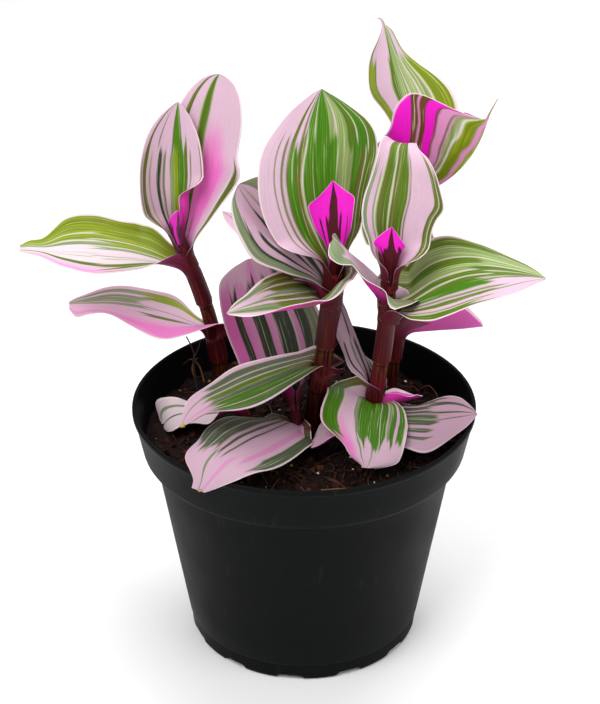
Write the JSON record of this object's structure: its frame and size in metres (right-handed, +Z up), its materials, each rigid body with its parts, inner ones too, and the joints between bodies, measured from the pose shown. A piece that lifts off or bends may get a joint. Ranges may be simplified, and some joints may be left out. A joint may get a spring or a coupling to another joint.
{
  "type": "potted tradescantia",
  "caption": "Leafy trailing plant with striped pink, green and white leaves on short upright stems, rooted in soil in a plain round nursery pot.",
  "frame": {"origin": "centre of the pot's underside", "axes": "+Z up along the pot's axis, -Y towards the plant's front, +X to the right seen from the front"},
  "size_m": [0.1702, 0.1229, 0.2015],
  "materials": {
    "pot": "satin black",
    "soil": "loose and rough",
    "stem": "satin",
    "leaf": "satin, striped",
    "young_leaf": "satin"
  },
  "bodies": {
    "root": {"pot": "pot", "soil": "soil", "stem_left": "stem", "stem_centre": "stem", "stem_right": "stem", "stem_back": "stem", "stem_short": "stem", "stem_low": "stem", "left_leaf_low": "leaf", "left_leaf_side": "leaf", "left_leaf_back": "leaf", "left_leaf_front": "leaf", "left_leaf_young": "young_leaf", "centre_leaf_low": "leaf", "centre_leaf_front": "leaf", "centre_leaf_far": "leaf", "centre_leaf_behind": "leaf", "centre_leaf_upright": "leaf", "centre_leaf_young": "young_leaf", "right_leaf_front_low": "leaf", "right_leaf_low": "leaf", "right_leaf_scrap": "leaf", "right_leaf_collar": "leaf", "right_leaf_back": "leaf", "right_leaf_side": "leaf", "right_leaf_front": "leaf", "right_leaf_upright": "leaf", "right_leaf_young": "young_leaf", "back_leaf_low": "leaf", "back_leaf_behind": "leaf", "back_leaf_front": "leaf", "back_leaf_top": "leaf", "short_leaf_front": "leaf", "short_leaf_back": "leaf", "low_leaf": "leaf"}
  },
  "joints": []
}
